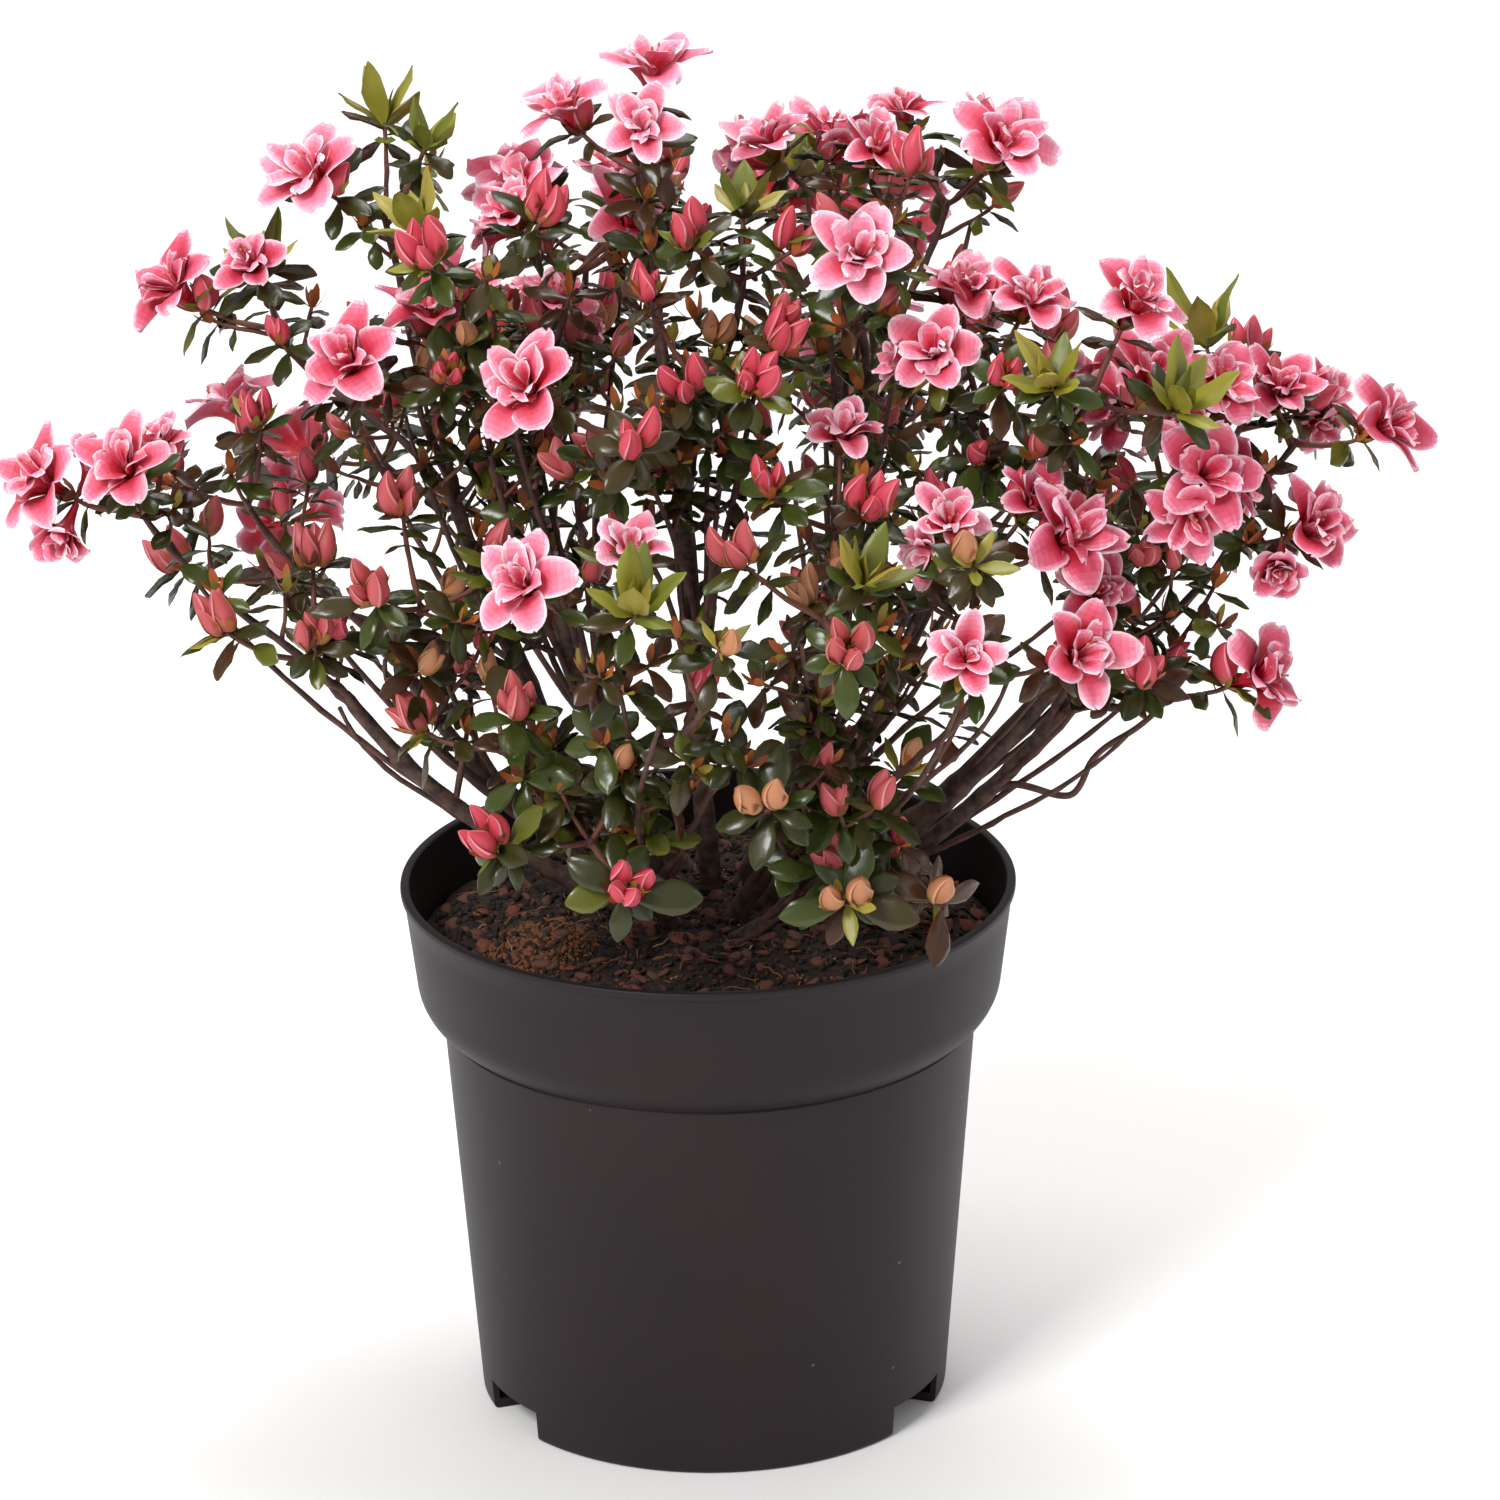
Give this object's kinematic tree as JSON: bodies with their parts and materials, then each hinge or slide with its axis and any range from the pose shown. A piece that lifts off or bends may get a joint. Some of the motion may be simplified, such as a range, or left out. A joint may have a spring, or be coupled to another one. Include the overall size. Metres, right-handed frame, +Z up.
{
  "type": "potted azalea shrub",
  "caption": "Flowering azalea shrub: bare boughs fan out of the soil of a round plastic nursery pot and carry sprays of dark leaves, buds and pink, white-edged blossom.",
  "frame": {"origin": "centre of the flat underside of the pot, at the level it stands on", "axes": "+Z up through the middle of the pot, +X to the right of the side with the low front sprays, +Y to the back"},
  "size_m": [0.4344, 0.3314, 0.4288],
  "materials": {
    "pot": "satin moulded plastic, dark grey",
    "soil": "moist peat with bark chips and fibres",
    "bark": "fine, matt, grey to reddish brown bark",
    "foliage": "small glossy dark green leaves, with olive young ones",
    "blossom": "thin pink petals with white edges"
  },
  "bodies": {
    "root": {"pot": "pot", "root_ball": "soil", "bough_left_low": "bark", "bough_left": "bark", "bough_upper_left": "bark", "bough_mid_left": "bark", "bough_top": "bark", "bough_top_right": "bark", "bough_right_upper": "bark", "bough_right": "bark", "bough_right_low": "bark", "bough_centre": "bark", "bough_low_left": "bark", "bough_low_right": "bark", "bough_back_left": "bark", "bough_back_right": "bark", "spray_far_left": "blossom", "spray_left_edge": "foliage", "spray_left": "blossom", "spray_left_buds": "foliage", "spray_left_low_back": "foliage", "spray_left_shoulder": "blossom", "spray_left_inner": "blossom", "spray_top_left": "foliage", "spray_mid_left_buds": "foliage", "spray_mid_left_open": "blossom", "spray_mid_left_back": "blossom", "spray_top": "blossom", "spray_top_buds": "foliage", "spray_centre_buds": "foliage", "spray_front_high": "blossom", "spray_top_right": "blossom", "spray_top_far_right": "blossom", "spray_top_right_front": "foliage", "spray_right_inner": "blossom", "spray_right_green": "foliage", "spray_right_low_back": "foliage", "spray_right_open": "blossom", "spray_right_high": "foliage", "spray_far_right": "blossom", "spray_right_mid": "foliage", "spray_right_edge_low": "foliage", "spray_right_outer": "blossom", "spray_centre_high": "foliage", "spray_centre_right": "blossom", "spray_centre_mid": "foliage", "spray_front_mid": "blossom", "spray_low_left": "foliage", "spray_low_front_left": "foliage", "spray_front_centre": "foliage", "spray_low_front_right": "foliage", "spray_low_centre": "foliage", "spray_low_right": "blossom", "spray_back_left": "blossom", "spray_back_mid_left": "blossom", "spray_back_high_left": "blossom", "spray_back_mid_right": "blossom", "spray_back_right": "blossom", "spray_back_high_right": "blossom"}
  },
  "joints": []
}
